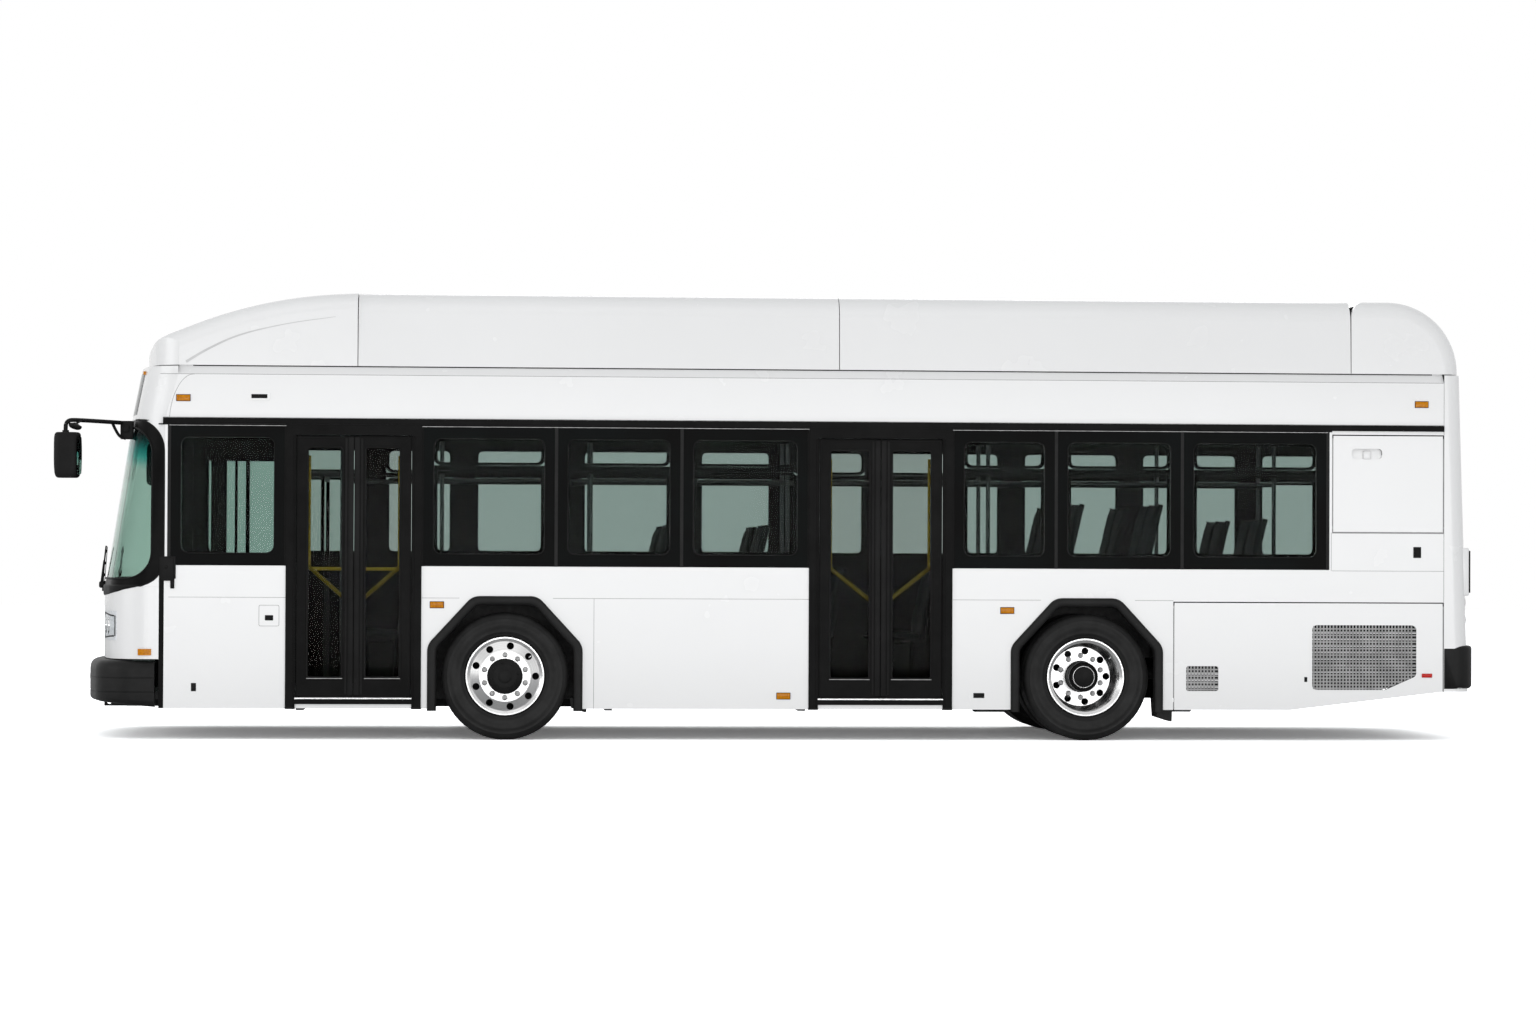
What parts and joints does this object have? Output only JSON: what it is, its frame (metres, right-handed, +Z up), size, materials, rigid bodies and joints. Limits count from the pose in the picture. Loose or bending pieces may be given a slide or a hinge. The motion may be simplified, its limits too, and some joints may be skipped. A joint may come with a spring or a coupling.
{
  "type": "city bus",
  "caption": "Low-floor single-deck city bus with two double-leaf passenger doors, roof shroud, opening lids, steered front wheels and twin rear wheels.",
  "frame": {"origin": "on the ground, midway along and across the whole bus", "axes": "+Z up, the bus faces -X, its doors are on -Y"},
  "size_m": [11.2053, 2.9644, 3.5],
  "materials": {
    "body_white": "gloss",
    "black_trim": "satin",
    "screen_glass": "gloss",
    "tinted_glass": "gloss",
    "lamp_clear": "gloss",
    "lamp_red": "gloss",
    "lamp_amber": "gloss",
    "black_rubber": "matte",
    "floor_grey": "matte",
    "chassis_steel": "satin",
    "cast_iron": "matte",
    "rim_aluminium": "polished",
    "tyre_rubber": "matte",
    "seat_fabric": "woven",
    "dark_plastic": "matte",
    "rail_steel": "brushed"
  },
  "bodies": {
    "body": {"windscreen_surround": "black_trim", "front_header": "body_white", "front_glass": "screen_glass", "front_mask": "body_white", "headlamps": "lamp_clear", "side_wall_left": "body_white", "side_wall_right": "body_white", "window_glass": "tinted_glass", "window_transoms": "black_trim", "gutter_rails": "black_trim", "wheel_arch_trims": "black_rubber", "roof_panel": "body_white", "roof_shroud": "body_white", "roof_dome": "body_white", "roof_tail": "body_white", "tail_lamps": "lamp_red", "rear_cap": "body_white", "door_frames": "black_trim", "floor": "floor_grey", "wheel_housings": "floor_grey", "underframe": "chassis_steel", "engine_block": "cast_iron", "front_axle": "chassis_steel", "rear_axle": "chassis_steel", "seats": "seat_fabric", "dashboard": "dark_plastic", "steering_wheel": "dark_plastic", "driver_partition": "dark_plastic", "grab_rails": "rail_steel", "bumper_front": "black_rubber", "bumper_rear": "black_rubber", "mirrors": "dark_plastic", "wipers": "dark_plastic", "side_lamps": "lamp_amber"},
    "knuckle_left": {"knuckle_left": "chassis_steel"},
    "knuckle_right": {"knuckle_right": "chassis_steel"},
    "wheel_front_left": {"rim_front_left": "rim_aluminium", "tyre_front_left": "tyre_rubber"},
    "wheel_front_right": {"rim_front_right": "rim_aluminium", "tyre_front_right": "tyre_rubber"},
    "wheels_rear_left": {"rims_rear_left": "rim_aluminium", "tyres_rear_left": "tyre_rubber"},
    "wheels_rear_right": {"rims_rear_right": "rim_aluminium", "tyres_rear_right": "tyre_rubber"},
    "leaf_front_fore": {"door_front_fore": "black_trim", "door_glass_front_fore": "tinted_glass"},
    "leaf_front_aft": {"door_front_aft": "black_trim", "door_glass_front_aft": "tinted_glass"},
    "leaf_rear_fore": {"door_rear_fore": "black_trim", "door_glass_rear_fore": "tinted_glass"},
    "leaf_rear_aft": {"door_rear_aft": "black_trim", "door_glass_rear_aft": "tinted_glass"},
    "lid_engine_rear": {"engine_lid_rear": "body_white"},
    "lid_engine_side": {"engine_lid_side": "body_white"},
    "lid_service_side": {"service_lid_side": "body_white"}
  },
  "joints": [
    {"name": "steer_left", "type": "hinge", "parent": "body", "child": "knuckle_left", "pos_m": [-2.1095, -1.0605, 0.499], "axis": [0, 0, 1], "range_deg": [-35, 35]},
    {"name": "steer_right", "type": "hinge", "parent": "body", "child": "knuckle_right", "pos_m": [-2.1095, 1.0605, 0.499], "axis": [0, 0, 1], "range_deg": [-35, 35]},
    {"name": "roll_front_left", "type": "hinge", "parent": "knuckle_left", "child": "wheel_front_left", "pos_m": [-2.1095, -1.1125, 0.499], "axis": [0, 1, 0], "continuous": true},
    {"name": "roll_front_right", "type": "hinge", "parent": "knuckle_right", "child": "wheel_front_right", "pos_m": [-2.1095, 1.1125, 0.499], "axis": [0, 1, 0], "continuous": true},
    {"name": "roll_rear_left", "type": "hinge", "parent": "body", "child": "wheels_rear_left", "pos_m": [2.4805, -0.945, 0.499], "axis": [0, 1, 0], "continuous": true},
    {"name": "roll_rear_right", "type": "hinge", "parent": "body", "child": "wheels_rear_right", "pos_m": [2.4805, 0.945, 0.499], "axis": [0, 1, 0], "continuous": true},
    {"name": "door_front_fore_swing", "type": "hinge", "parent": "body", "child": "leaf_front_fore", "pos_m": [-3.7105, -1.278, 1.3545], "axis": [0, 0, -1], "range_deg": [0, 90]},
    {"name": "door_front_aft_swing", "type": "hinge", "parent": "body", "child": "leaf_front_aft", "pos_m": [-2.8715, -1.278, 1.3545], "axis": [0, 0, 1], "range_deg": [0, 90]},
    {"name": "door_rear_fore_swing", "type": "hinge", "parent": "body", "child": "leaf_rear_fore", "pos_m": [0.3805, -1.278, 1.3545], "axis": [0, 0, -1], "range_deg": [0, 90]},
    {"name": "door_rear_aft_swing", "type": "hinge", "parent": "body", "child": "leaf_rear_aft", "pos_m": [1.3005, -1.278, 1.3545], "axis": [0, 0, 1], "range_deg": [0, 90]},
    {"name": "lid_engine_rear_swing", "type": "hinge", "parent": "body", "child": "lid_engine_rear", "pos_m": [5.5095, 0, 1.597], "axis": [0, -1, 0], "range_deg": [0, 80]},
    {"name": "lid_engine_side_swing", "type": "hinge", "parent": "body", "child": "lid_engine_side", "pos_m": [4.256, -1.279, 1.059], "axis": [-1, 0, 0], "range_deg": [0, 80]},
    {"name": "lid_service_side_swing", "type": "hinge", "parent": "body", "child": "lid_service_side", "pos_m": [4.892, -1.279, 1.696], "axis": [1, 0, 0], "range_deg": [0, 90]}
  ],
  "couplings": [
    {"joint": "steer_right", "follows": "steer_left", "ratio": 1},
    {"joint": "door_front_aft_swing", "follows": "door_front_fore_swing", "ratio": 1},
    {"joint": "door_rear_aft_swing", "follows": "door_rear_fore_swing", "ratio": 1}
  ]
}
